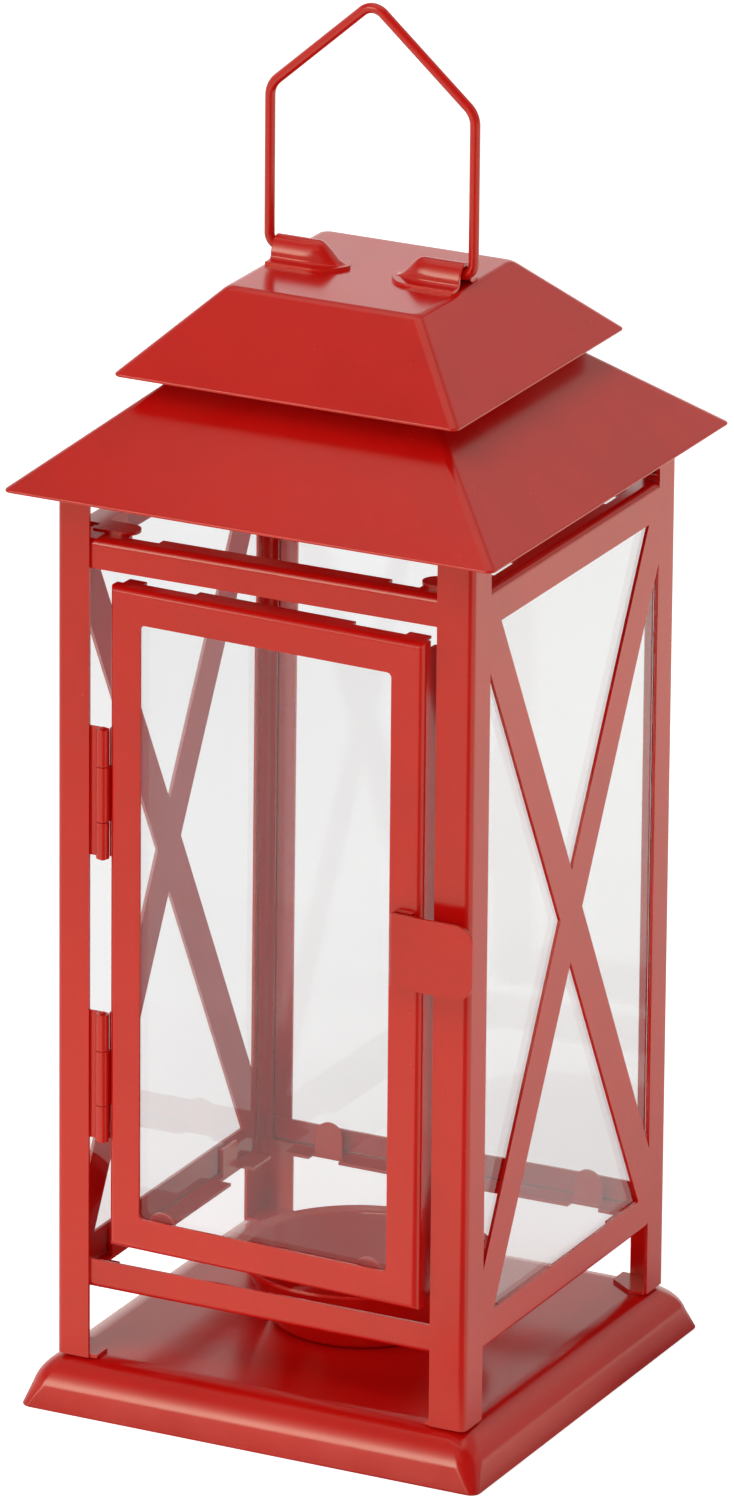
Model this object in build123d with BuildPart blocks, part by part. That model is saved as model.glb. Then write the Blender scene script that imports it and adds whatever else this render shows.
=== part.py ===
"""Barn lantern: square sheet-steel candle lantern with glass panes, X-braced
sides, a hinged front door, a two-tier vented roof and a wire carrying handle.

Frame: millimetres, +Z up, origin at the centre of the base on the table plane,
the door faces -Y, +X runs to the right along the front.
"""
from build123d import *
import os
from math import cos, radians, sin, tan

os.makedirs("parts", exist_ok=True)

# ---------------------------------------------------------------- shared dimensions
SHEET = 0.8                  # sheet steel thickness
GLASS = 2.4                  # pane thickness
POST_HALF = 55.0             # half of the outside width across the posts
BASE_TOP = 13.0              # height of the flat the posts stand on
FOLD_R = 1.5                 # centre-line bend radius of the rail folds
LIP_IN = 47.7                # how far in the folded lips reach, from the centre line
RAIL_END = 53.0              # half length of the front and rear rails
TAB_W = 7.5                  # width of a glass tab

# Inner face of the rear pane, and of the glass tabs behind the side panes
TAB_FACE = POST_HALF - 2 * SHEET - GLASS

# Lower roof; its underside also shapes the side panels' roof tabs
ROOF_HALF = 64.45
ROOF_Z = 233.0
ROOF_LIP = 0.6               # height of the vertical rim
ROOF_SLOPE = 0.805
ROOF_SHEET_V = SHEET / cos(radians(38.83))    # sheet thickness measured vertically


def save(part, name):
    """Label a finished piece and write its STEP file."""
    part.label = name
    export_step(part, f"parts/{name}.step")


def mirrored(part):
    """Copy of a part reflected left to right."""
    with BuildPart() as copy:
        add(mirror(part, about=Plane.YZ, mode=Mode.PRIVATE))
    return copy.part


def four_sided(right_half, crown_r=None):
    """Solid where a symmetric profile run along Y meets the same run along X.

    right_half lists the profile's (half width, z) points from the bottom up;
    crown_r rounds its two top corners.
    """
    left_half = [(-x, z) for x, z in reversed(right_half)]
    with BuildPart() as solid:
        for plane, mode in ((Plane.XZ, Mode.ADD), (Plane.YZ, Mode.INTERSECT)):
            with BuildSketch(plane):
                with BuildLine():
                    Polyline(left_half[-1], *right_half, *left_half[:-1], close=True)
                face = make_face()
                if crown_r is not None:
                    fillet(face.vertices().sort_by(Axis.Y)[-2:], crown_r)
            extrude(amount=80, both=True, mode=mode)
    return solid.part


def hollowed(outer, core):
    """Outer solid with the core taken out."""
    with BuildPart() as shell:
        add(outer)
        add(core, mode=Mode.SUBTRACT)
    return shell.part


def roof_under(x):
    """Height of the lower roof's underside at a distance x from the centre line."""
    return ROOF_Z + ROOF_LIP - ROOF_SHEET_V + (ROOF_HALF - x) * ROOF_SLOPE


def round_ended_tab(across, root, end):
    """Draw a glass tab, root to end, in the sketch that is open in the caller."""
    with Locations((across, (root + end) / 2)):
        Rectangle(TAB_W, abs(root - end))
    with Locations((across, end)):
        Circle(TAB_W / 2)


# ---------------------------------------------------------------- base pan
BASE_HALF = 61.75            # half width at the table
BASE_DRAFT = 14.5            # skirt angle from vertical, degrees
BASE_SHOULDER = 9.2          # outer radius of the pressed shoulder


def base_tray():
    """Pressed tray, open underneath."""
    spread = tan(radians(BASE_DRAFT))
    skirt_t = SHEET / cos(radians(BASE_DRAFT))     # skirt thickness, level

    def outer_half(z):
        return BASE_HALF - z * spread

    core_lo, core_hi = -2, BASE_TOP - SHEET
    core = four_sided(
        [(outer_half(core_lo) - skirt_t, core_lo), (outer_half(core_hi) - skirt_t, core_hi)],
        crown_r=BASE_SHOULDER - SHEET,
    )
    outer = four_sided([(BASE_HALF, 0), (outer_half(BASE_TOP), BASE_TOP)], crown_r=BASE_SHOULDER)
    return hollowed(outer, core)


save(base_tray(), "base_tray")

# ---------------------------------------------------------------- candle dish
DISH_FOOT_R = 21.6
DISH_RIM_R = 31.2
DISH_RIM_Z = 30.4
DISH_T = 0.7


def candle_dish():
    """Round dish with a flared wall, standing on the base."""
    with BuildPart() as dish:
        with BuildSketch(Plane.XZ):
            with BuildLine():
                FilletPolyline(
                    (0.0, BASE_TOP + DISH_T / 2),
                    (DISH_FOOT_R, BASE_TOP + DISH_T / 2),
                    (DISH_RIM_R - 2.1, DISH_RIM_Z - 1.2),
                    (DISH_RIM_R, DISH_RIM_Z - DISH_T / 2),
                    radius=[2.6, 1.2],
                )
            trace(line_width=DISH_T)
        revolve(axis=Axis.Z)
    return dish.part


save(candle_dish(), "candle_dish")

# ---------------------------------------------------------------- side panels
POST_TOP = 240.0
POST_BEND_R = 1.4            # centre-line bend radius of the posts
FLANGE_IN = 46.25            # inner edge of the post flanges, from the centre line
CATCH_FLANGE_IN = 45.6       # same, on the catch side of the front
LEG_IN = 45.45               # inner edge of a post on the side face
SIDE_BOT_LO, SIDE_BOT_HI = 30.3, 39.2      # bottom rail of a side face
SIDE_TOP_LO, SIDE_TOP_HI = 213.0, 222.3    # top rail of a side face
SIDE_FOLDS = ((SIDE_TOP_HI, -1), (SIDE_BOT_LO, 1))    # folded edge, way to the rail

# The four triangular windows of the X, as (y, z) corners
WINDOW_HALF = 39.9           # half base of the top and bottom windows
WINDOWS = [
    ((-WINDOW_HALF, SIDE_TOP_LO), (WINDOW_HALF, SIDE_TOP_LO), (0, 138.0)),
    ((-WINDOW_HALF, SIDE_BOT_HI), (WINDOW_HALF, SIDE_BOT_HI), (0, 114.6)),
] + [
    ((side * LEG_IN, 201.6), (side * LEG_IN, 51.2), (side * 5.9, 126.9)) for side in (-1, 1)
]

SIDE_TAB_Y = 30.0            # glass tabs, from the centre line
SIDE_TAB_H = 8.2
SIDE_NOTCH_W = 12
CORNER_EAR_X, CORNER_EAR_Y = 44.6, 45.9
CORNER_EAR_L, CORNER_EAR_W = 7.2, 7.0
ROOF_TAB_IN = 49.5           # inner end of a roof tab
ROOF_TAB_Y = 45.6
ROOF_TAB_W = 3.3

# Foot bent inwards on the base, (x, y) corners of the rear one
FOOT = (
    (44.2, 54.4), (53.4, 54.4), (54.4, 53.4), (54.4, 44.4), (50.5, 44.4), (44.2, 49.0),
)


def side_panel():
    """Right-hand panel in one sheet: X-braced face, two post flanges, folded rail
    lips, corner ears, glass tabs, feet and roof tabs."""
    wall = POST_HALF - SHEET / 2       # centre plane of the sheet
    corner_r = FOLD_R + SHEET / 2      # outer radius of a rail fold

    with BuildPart() as panel:
        # U-shaped wall, post flanges bent round front and back
        with BuildSketch(Plane.XY.offset(BASE_TOP)):
            with BuildLine():
                FilletPolyline(
                    (FLANGE_IN, -wall), (wall, -wall), (wall, wall), (FLANGE_IN, wall),
                    radius=[POST_BEND_R, POST_BEND_R],
                )
            trace(line_width=SHEET)
        extrude(amount=POST_TOP - BASE_TOP)

        # open spaces below and above the rails, and the windows
        with BuildSketch(Plane.YZ.offset(POST_HALF - 4)):
            for z_low, z_high in ((BASE_TOP, SIDE_BOT_LO), (SIDE_TOP_HI, POST_TOP)):
                with Locations((0, (z_low + z_high) / 2)):
                    Rectangle(2 * LEG_IN, z_high - z_low)
            for corners in WINDOWS:
                with BuildLine():
                    Polyline(*corners, close=True)
                make_face()
        extrude(amount=8, mode=Mode.SUBTRACT)

        # folded lips along the rails
        for edge, inward in SIDE_FOLDS:
            lip_z = edge + inward * SHEET / 2
            with BuildSketch(Plane.XZ):
                with BuildLine():
                    FilletPolyline(
                        (LIP_IN, lip_z), (wall, lip_z), (wall, edge + inward * 5),
                        radius=[FOLD_R],
                    )
                trace(line_width=SHEET)
            extrude(amount=LEG_IN - 0.1, both=True)

        # round the outer corner left along each fold
        with BuildSketch(Plane.XZ):
            for edge, inward in SIDE_FOLDS:
                start = (POST_HALF - corner_r, edge)
                middle = (
                    POST_HALF - corner_r + corner_r * sin(radians(45)),
                    edge + inward * (corner_r - corner_r * cos(radians(45))),
                )
                end = (POST_HALF, edge + inward * corner_r)
                with BuildLine():
                    Line((POST_HALF, edge), start)
                    ThreePointArc(start, middle, end)
                    Line(end, (POST_HALF, edge))
                make_face()
        extrude(amount=LEG_IN - 0.1, both=True, mode=Mode.SUBTRACT)

        # glass tabs bent out of the lips, each in its own relief notch
        for tab_y in (-SIDE_TAB_Y, SIDE_TAB_Y):
            with BuildSketch(Plane.XY.offset(SIDE_BOT_LO - 1)):
                with Locations(((LIP_IN + TAB_FACE) / 2, tab_y)):
                    Rectangle(TAB_FACE - LIP_IN, SIDE_NOTCH_W)
            extrude(amount=SIDE_TOP_HI - SIDE_BOT_LO + 2, mode=Mode.SUBTRACT)
            with BuildSketch(Plane.YZ.offset(TAB_FACE)):
                with Locations(
                    (tab_y, SIDE_BOT_LO + SIDE_TAB_H / 2), (tab_y, SIDE_TOP_HI - SIDE_TAB_H / 2)
                ):
                    Rectangle(TAB_W, SIDE_TAB_H)
            extrude(amount=SHEET)

        # round-ended ears at the corners of the top lip
        with BuildSketch(Plane.XY.offset(SIDE_TOP_HI - SHEET)):
            for side in (-1, 1):
                with Locations((CORNER_EAR_X, side * CORNER_EAR_Y)):
                    Rectangle(CORNER_EAR_L, CORNER_EAR_W)
                with Locations((CORNER_EAR_X - CORNER_EAR_L / 2, side * CORNER_EAR_Y)):
                    Circle(CORNER_EAR_W / 2)
                # bridge from the ear to the lip
                with Locations((LIP_IN + 0.5, side * 43.9)):
                    Rectangle(2.0, 3.0)
        extrude(amount=SHEET)

        # feet
        for side in (-1, 1):
            with BuildSketch(Plane.XY.offset(BASE_TOP)):
                with BuildLine():
                    Polyline(*[(x, side * y) for x, y in FOOT], close=True)
                make_face()
            extrude(amount=SHEET)

        # roof tabs, lying against the underside of the lower roof
        tab_out = POST_HALF - 0.05     # just inside the outer face of the post
        tab_root_z = POST_TOP - 3
        for side in (-1, 1):
            with BuildSketch(Plane.XZ.offset(-side * ROOF_TAB_Y)):
                with BuildLine():
                    Polyline(
                        (tab_out, roof_under(tab_out)),
                        (ROOF_TAB_IN, roof_under(ROOF_TAB_IN)),
                        (ROOF_TAB_IN, roof_under(ROOF_TAB_IN) - ROOF_SHEET_V),
                        (POST_HALF - SHEET, roof_under(POST_HALF) - ROOF_SHEET_V),
                        (POST_HALF - SHEET, tab_root_z),
                        (tab_out, tab_root_z),
                        close=True,
                    )
                make_face()
            extrude(amount=-side * ROOF_TAB_W)
    return panel.part


def with_catch_flange(panel):
    """Extend the front flange further in, towards the door's free edge."""
    overlap_x = FLANGE_IN + 0.2
    with BuildPart() as extended:
        add(panel)
        with BuildSketch(Plane.XY.offset(BASE_TOP)):
            with Locations(((CATCH_FLANGE_IN + overlap_x) / 2, -(POST_HALF - SHEET / 2))):
                Rectangle(overlap_x - CATCH_FLANGE_IN, SHEET)
        extrude(amount=POST_TOP - BASE_TOP)
    return extended.part


plain_panel = side_panel()
save(with_catch_flange(plain_panel), "side_panel_right")
save(mirrored(plain_panel), "side_panel_left")

# ---------------------------------------------------------------- front and rear rails
RAIL_TOP_LO, RAIL_TOP_HI = 214.0, 221.5
RAIL_BOT_LO, RAIL_BOT_HI = 31.0, 38.5
RAIL_LIP_END = 45.0          # half length of a rail's lip
RAIL_TAB_X = 34.4            # centre of the lip notches and glass tabs

# level, free edge, folded edge, bottom of the lip cuts, their height, tab end centre
RAIL_LEVELS = (
    ("top", RAIL_TOP_LO, RAIL_TOP_HI, RAIL_TOP_HI - 3, 5, 216.2),
    ("bottom", RAIL_BOT_HI, RAIL_BOT_LO, RAIL_BOT_LO - 1, 4, 36.7),
)


def rail(side, free_edge, fold_edge, cut_low, cut_height, tab_end):
    """L-section rail at the front (side -1) or rear (side 1); the rear has glass tabs."""
    web_y = side * (POST_HALF - 1.5 * SHEET)       # centre plane of the web
    inward = 1 if free_edge > fold_edge else -1
    lip_z = fold_edge + inward * SHEET / 2
    with BuildPart() as bar:
        with BuildSketch(Plane.YZ):
            with BuildLine():
                FilletPolyline(
                    (web_y, free_edge), (web_y, lip_z), (side * LIP_IN, lip_z),
                    radius=[FOLD_R],
                )
            trace(line_width=SHEET)
        extrude(amount=RAIL_END, both=True)
        # shorten the lip at both ends and notch it
        with BuildSketch(Plane.XY.offset(cut_low)):
            for end in (-1, 1):
                with Locations((end * ((RAIL_END + RAIL_LIP_END) / 2 + 0.5), side * 49.7)):
                    Rectangle(RAIL_END - RAIL_LIP_END + 1, 7.0)
                with Locations((end * RAIL_TAB_X, side * 47.9)):
                    Rectangle(8.2, 4.2)
        extrude(amount=cut_height, mode=Mode.SUBTRACT)
        if side > 0:
            with BuildSketch(Plane.XZ.offset(-TAB_FACE)):
                for tab_x in (-RAIL_TAB_X, RAIL_TAB_X):
                    round_ended_tab(tab_x, root=lip_z, end=tab_end)
            extrude(amount=SHEET)
    return bar.part


for side_name, side in (("front", -1), ("rear", 1)):
    for level, *sizes in RAIL_LEVELS:
        save(rail(side, *sizes), f"{side_name}_{level}_rail")

# ---------------------------------------------------------------- fixed panes
PANE_GAP = 1.15              # vertical gap between a pane and the rail lips
SIDE_PANE_W = 2 * 46.5
REAR_PANE_W = 2 * 50.5


def pane(plane, centre, width, height, thickness, corner):
    """Rectangular pane on a plane, its four corners cut by a chamfer."""
    with BuildPart() as sheet:
        with BuildSketch(plane):
            with Locations(centre):
                Rectangle(width, height)
        extrude(amount=thickness)
        chamfer(sheet.edges().filter_by(lambda e: abs(e.length - GLASS) < 0.01), corner)
    return sheet.part


def fixed_pane(plane, width, lower_rail, upper_rail, thickness):
    """Pane between the outer edges of a lower and an upper rail."""
    low = lower_rail + SHEET + PANE_GAP
    high = upper_rail - SHEET - PANE_GAP
    return pane(plane, (0, (low + high) / 2), width, high - low, thickness, corner=0.4)


for side_name, face_x in (
    ("right", POST_HALF - SHEET - GLASS),
    ("left", -(POST_HALF - SHEET)),
):
    side_pane = fixed_pane(
        Plane.YZ.offset(face_x), SIDE_PANE_W, SIDE_BOT_LO, SIDE_TOP_HI, GLASS
    )
    save(side_pane, f"glass_{side_name}")

rear_pane = fixed_pane(
    Plane.XZ.offset(-TAB_FACE), REAR_PANE_W, RAIL_BOT_LO, RAIL_TOP_HI, -GLASS
)
save(rear_pane, "glass_rear")

# ---------------------------------------------------------------- door
# In the door's own frame u runs from the hinge axis along the door, w backwards, Z up.
HINGE_X, HINGE_Y = -42.5, -55.0
DOOR_AJAR = radians(2.35)    # the door rests slightly open
DOOR_U0, DOOR_U1 = 1.6, 86.4
DOOR_LO, DOOR_HI = 43.2, 210.7
DOOR_W, DOOR_H = DOOR_U1 - DOOR_U0, DOOR_HI - DOOR_LO
DOOR_MID = ((DOOR_U0 + DOOR_U1) / 2, (DOOR_LO + DOOR_HI) / 2)
DOOR_DEPTH = 7.1
DOOR_MARGIN = 8.5            # width of the frame round the window
DOOR_TABS_U = (15.2, 71.8)
DOOR_TAB_ENDS = ((DOOR_LO + SHEET / 2, 49.65), (DOOR_HI - SHEET / 2, 205.05))  # root, end z
DOOR_PANE_GAP = 1.1          # all round, between the pane and the door's folds

DOOR_ALONG = (cos(DOOR_AJAR), -sin(DOOR_AJAR), 0)
DOOR_FACE = Plane(
    origin=(HINGE_X, HINGE_Y, 0),
    x_dir=DOOR_ALONG,
    z_dir=(-sin(DOOR_AJAR), -cos(DOOR_AJAR), 0),
)
DOOR_FLAT = Plane(origin=(HINGE_X, HINGE_Y, 0), x_dir=DOOR_ALONG, z_dir=(0, 0, 1))


def door_block(inset, edge_r):
    """Door-sized block, inset all round, with its front edges rounded."""
    with BuildPart() as block:
        with BuildSketch(DOOR_FACE.offset(-inset)):
            with Locations(DOOR_MID):
                Rectangle(DOOR_W - 2 * inset, DOOR_H - 2 * inset)
        extrude(amount=-DOOR_DEPTH)
        fillet(block.faces().sort_by(Axis.Y)[0].edges(), edge_r)
    return block.part


def door_frame():
    """Shallow pressed tray, open at the back, with a window and tabs for its pane."""
    pocket = door_block(inset=SHEET, edge_r=1.0)
    with BuildPart() as frame:
        add(door_block(inset=0, edge_r=1.8))
        add(pocket, mode=Mode.SUBTRACT)
        # window
        with BuildSketch(DOOR_FACE.offset(1)):
            with Locations(DOOR_MID):
                RectangleRounded(DOOR_W - 2 * DOOR_MARGIN, DOOR_H - 2 * DOOR_MARGIN, 1.2)
        extrude(amount=-3, mode=Mode.SUBTRACT)
        # relief notches in the top and bottom folds, and open corners
        for cut_low in (DOOR_LO - 1, DOOR_HI - 2):
            with BuildSketch(DOOR_FLAT.offset(cut_low)):
                for tab_u in DOOR_TABS_U:
                    with Locations((tab_u, DOOR_DEPTH + 0.9)):
                        Rectangle(14.4, 6.0)
                for corner_u in (DOOR_U0, DOOR_U1):
                    with Locations((corner_u, DOOR_DEPTH)):
                        Rectangle(3.2, 6.4)
            extrude(amount=3, mode=Mode.SUBTRACT)
        # round-ended tabs that hold the pane
        with BuildSketch(DOOR_FACE.offset(-SHEET - GLASS)):
            for tab_u in DOOR_TABS_U:
                for root, end in DOOR_TAB_ENDS:
                    round_ended_tab(tab_u, root, end)
        extrude(amount=-SHEET)
        # roots joining the tabs to the folds
        for root_low in (DOOR_LO, DOOR_HI - SHEET):
            with BuildSketch(DOOR_FLAT.offset(root_low)):
                for tab_u in DOOR_TABS_U:
                    with Locations((tab_u, SHEET + GLASS + SHEET / 2)):
                        Rectangle(TAB_W, 2 * SHEET)
            extrude(amount=SHEET)
    return frame.part


save(door_frame(), "door_frame")

door_pane = pane(
    DOOR_FACE.offset(-SHEET),
    DOOR_MID,
    DOOR_W - 2 * SHEET - 2 * DOOR_PANE_GAP,
    DOOR_H - 2 * SHEET - 2 * DOOR_PANE_GAP,
    thickness=-GLASS,
    corner=0.5,
)
save(door_pane, "glass_door")

# ---------------------------------------------------------------- door catch
CATCH_LO, CATCH_HI = 125.3, 143.7
CATCH_U0, CATCH_U1 = 79.1, 101.9
CATCH_SHORT_END = 84.4       # u of the short leaf's end
CATCH_GAP = 1.2              # gap between the leaves


def door_latch():
    """Hooked thumb catch: short leaf on the stile, folded back on itself, long leaf
    reaching across the front of the post."""
    # outline seen from the front, with rounded corners
    with BuildPart() as blank:
        with BuildSketch(DOOR_FACE.offset(CATCH_GAP + 3 * SHEET)):
            with Locations(((CATCH_U0 + CATCH_U1) / 2, (CATCH_LO + CATCH_HI) / 2)):
                Rectangle(CATCH_U1 - CATCH_U0, CATCH_HI - CATCH_LO)
            fillet(vertices().group_by(Axis.X)[-1], 4.5)
            fillet(vertices().group_by(Axis.X)[0], 1.2)
        extrude(amount=-8)

    bend_r = (CATCH_GAP + SHEET) / 2
    bend_u = CATCH_U0 + SHEET / 2 + bend_r
    short_w = -SHEET / 2
    long_w = short_w - 2 * bend_r
    with BuildPart() as latch:
        with BuildSketch(DOOR_FLAT.offset(CATCH_LO)):
            with BuildLine():
                Line((CATCH_SHORT_END, short_w), (bend_u, short_w))
                ThreePointArc(
                    (bend_u, short_w), (bend_u - bend_r, short_w - bend_r), (bend_u, long_w)
                )
                Line((bend_u, long_w), (CATCH_U1, long_w))
            trace(line_width=SHEET)
        extrude(amount=CATCH_HI - CATCH_LO)
        add(blank.part, mode=Mode.INTERSECT)
    return latch.part


save(door_latch(), "door_latch")

# ---------------------------------------------------------------- hinges
KNUCKLE_R = 1.6
PIN_R = 0.75
PIN_GAP = 0.05               # radial running clearance on the pin
AXIAL_GAP = 0.15             # between neighbouring knuckles
HINGE_LEN = 32.5
OUTER_KNUCKLE = 9.2          # length of each outer knuckle
MID_KNUCKLE = HINGE_LEN - 2 * OUTER_KNUCKLE - 2 * AXIAL_GAP
HINGE_LOWS = {"upper": 142.0, "lower": 69.9}

FRAME_PLATE_X = -44.3        # right-hand edge of the frame leaf's plate
FRAME_TONGUE_X = -44.8       # where the tongues to the knuckles start, within the plate
DOOR_PLATE_W0, DOOR_PLATE_W1 = 1.8, 6.4    # door leaf's plate, in w
DOOR_TONGUE_W = 2.0


def hinge_frame_leaf(low):
    """Plate behind the post flange, with the two outer knuckles."""
    knuckle_lows = (low, low + HINGE_LEN - OUTER_KNUCKLE)
    with BuildPart() as leaf:
        with BuildSketch(Plane.XZ.offset(POST_HALF - 2 * SHEET)):
            with Locations(((-RAIL_END + FRAME_PLATE_X) / 2, low + HINGE_LEN / 2)):
                Rectangle(RAIL_END + FRAME_PLATE_X, HINGE_LEN)
            for knuckle_low in knuckle_lows:
                with Locations(
                    ((FRAME_TONGUE_X + HINGE_X) / 2, knuckle_low + OUTER_KNUCKLE / 2)
                ):
                    Rectangle(HINGE_X - FRAME_TONGUE_X, OUTER_KNUCKLE)
        extrude(amount=SHEET)
        for knuckle_low in knuckle_lows:
            with BuildSketch(Plane.XY.offset(knuckle_low)):
                with Locations((HINGE_X, HINGE_Y)):
                    Circle(KNUCKLE_R)
            extrude(amount=OUTER_KNUCKLE)
        with BuildSketch(Plane.XY.offset(low - 1)):
            with Locations((HINGE_X, HINGE_Y)):
                Circle(PIN_R)
        extrude(amount=HINGE_LEN + 2, mode=Mode.SUBTRACT)
    return leaf.part


def hinge_door_leaf(low):
    """Plate along the door's side fold, with the middle knuckle."""
    middle = low + HINGE_LEN / 2
    fold_plane = Plane(origin=DOOR_FLAT.origin, x_dir=DOOR_FLAT.y_dir, z_dir=DOOR_FLAT.x_dir)
    with BuildPart() as leaf:
        with BuildSketch(fold_plane.offset(DOOR_U0 - SHEET)):
            with Locations(((DOOR_PLATE_W0 + DOOR_PLATE_W1) / 2, middle)):
                Rectangle(DOOR_PLATE_W1 - DOOR_PLATE_W0, HINGE_LEN)
            with Locations((DOOR_TONGUE_W / 2, middle)):
                Rectangle(DOOR_TONGUE_W, MID_KNUCKLE)
        extrude(amount=SHEET)
        with BuildSketch(DOOR_FLAT.offset(low + OUTER_KNUCKLE + AXIAL_GAP)):
            Circle(KNUCKLE_R)
        extrude(amount=MID_KNUCKLE)
        with BuildSketch(DOOR_FLAT.offset(low - 1)):
            Circle(PIN_R + PIN_GAP)
        extrude(amount=HINGE_LEN + 2, mode=Mode.SUBTRACT)
    return leaf.part


def hinge_pin(low):
    """Round-edged pin standing slightly proud of both ends."""
    with BuildPart() as pin:
        with BuildSketch(Plane.XY.offset(low - 0.5)):
            with Locations((HINGE_X, HINGE_Y)):
                Circle(PIN_R)
        extrude(amount=HINGE_LEN + 1.0)
        fillet(pin.edges().filter_by(GeomType.CIRCLE), 0.3)
    return pin.part


for hinge_name, hinge_low in HINGE_LOWS.items():
    save(hinge_frame_leaf(hinge_low), f"hinge_{hinge_name}_frame_leaf")
    save(hinge_door_leaf(hinge_low), f"hinge_{hinge_name}_door_leaf")
    save(hinge_pin(hinge_low), f"hinge_{hinge_name}_pin")

# ---------------------------------------------------------------- roof
CAP_HALF = 45.3
CAP_Z = 259.2
CAP_LIP = 0.6                # height of the cap's vertical rim
CAP_SLOPE = 0.975
CAP_TOP = 279.1
CAP_SHEET_V = SHEET / cos(radians(44.28))     # sheet thickness measured vertically
COLLAR_HALF = 24.0           # half width of the vent collar and of the roof opening


def roof_lower():
    """Lower tier: mitred hips, softened, with a square opening at the top."""
    peak_half = 20.0         # where the solids are cut flat, inside the opening
    core_half = ROOF_HALF - ROOF_SHEET_V / ROOF_SLOPE - 0.15
    core = four_sided([
        (core_half, ROOF_Z - 2),
        (core_half, roof_under(core_half)),
        (peak_half, roof_under(peak_half)),
    ])
    with BuildPart() as roof:
        add(four_sided([
            (ROOF_HALF, ROOF_Z),
            (ROOF_HALF, ROOF_Z + ROOF_LIP),
            (peak_half, roof_under(peak_half) + ROOF_SHEET_V),
        ]))
        # only the hips run in both X and Y
        hips = roof.edges().filter_by(
            lambda e: abs(e.tangent_at(0.5).X) > 0.3 and abs(e.tangent_at(0.5).Y) > 0.3
        )
        fillet(hips, 2.0)
        add(core, mode=Mode.SUBTRACT)
        with BuildSketch(Plane.XY.offset(ROOF_Z + 10)):
            Rectangle(2 * COLLAR_HALF, 2 * COLLAR_HALF)
        extrude(amount=40, mode=Mode.SUBTRACT)
    return roof.part


def roof_cap():
    """Upper tier: flat-topped four-sided cap, open underneath."""
    rim_z = CAP_Z + CAP_LIP
    under_z = rim_z - CAP_SHEET_V      # underside, extended out to CAP_HALF
    core_half = CAP_HALF - CAP_SHEET_V / CAP_SLOPE - 0.1
    core_top = CAP_TOP - SHEET
    core = four_sided(
        [
            (core_half, CAP_Z - 2),
            (core_half, under_z + (CAP_HALF - core_half) * CAP_SLOPE),
            (CAP_HALF - (core_top - under_z) / CAP_SLOPE, core_top),
        ],
        crown_r=2.2,
    )
    outer = four_sided(
        [
            (CAP_HALF, CAP_Z),
            (CAP_HALF, rim_z),
            (CAP_HALF - (CAP_TOP - rim_z) / CAP_SLOPE, CAP_TOP),
        ],
        crown_r=3.0,
    )
    return hollowed(outer, core)


save(roof_lower(), "roof_lower")
save(roof_cap(), "roof_cap")

# ---------------------------------------------------------------- vent collar
COLLAR_LO = 261.5
COLLAR_CORNER_R = 1.5
COLLAR_FLANGE = 5            # width of the turned-in top
VENT_PITCH = 9.6
VENT_Z = 272.2
VENT_R = 3.2


def vent_collar():
    """Square tube standing in the roof opening, its top turned in under the cap's
    flat, with a row of vent holes in each side."""
    with BuildPart() as collar:
        for low, height, rim in (
            (COLLAR_LO, CAP_TOP - SHEET - COLLAR_LO, SHEET),
            (CAP_TOP - 2 * SHEET, SHEET, COLLAR_FLANGE),
        ):
            with BuildSketch(Plane.XY.offset(low)):
                RectangleRounded(2 * COLLAR_HALF, 2 * COLLAR_HALF, COLLAR_CORNER_R)
                inner = 2 * (COLLAR_HALF - rim)
                Rectangle(inner, inner, mode=Mode.SUBTRACT)
            extrude(amount=height)
        for plane in (Plane.XZ, Plane.YZ):
            with BuildSketch(plane):
                for step in (-1.5, -0.5, 0.5, 1.5):
                    with Locations((step * VENT_PITCH, VENT_Z)):
                        Circle(VENT_R)
            extrude(amount=40, both=True, mode=Mode.SUBTRACT)
    return collar.part


save(vent_collar(), "vent_collar")

# ---------------------------------------------------------------- handle ears
EAR_H = 6.0
EAR_HALF = 3.6               # outer half width of the tunnel
EAR_END = 24.9               # open outer end
EAR_TAPER_X = 13.0           # the tunnel narrows inwards from here
EAR_TIP = 5.7                # pointed inner end of the plate
EAR_PLATE_HALF = 6.6
EAR_SHOULDER_X = 12.5        # the plate narrows inwards from here


def tunnel(end_x, half, floor, tip, base=None):
    """Half-round tunnel along X, tapering inwards to a small tip section.

    tip is (x, half width, spring height, arch rise); base is a part to build onto.
    """
    mouth = (EAR_TAPER_X, half, EAR_H - EAR_HALF, half)
    with BuildPart() as solid:
        if base is not None:
            add(base)
        # the straight run is extruded, then the taper is lofted from mouth to tip
        for section, length in ((mouth, end_x - EAR_TAPER_X), (mouth, None), (tip, None)):
            x, half_w, spring, rise = section
            spring_z = CAP_TOP + spring
            with BuildSketch(Plane.YZ.offset(x)):
                with BuildLine():
                    Polyline(
                        (-half_w, spring_z), (-half_w, floor), (half_w, floor), (half_w, spring_z)
                    )
                    ThreePointArc((half_w, spring_z), (0, spring_z + rise), (-half_w, spring_z))
                make_face()
            if length is not None:
                extrude(amount=length)
        loft(ruled=True)
    return solid.part


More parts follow.
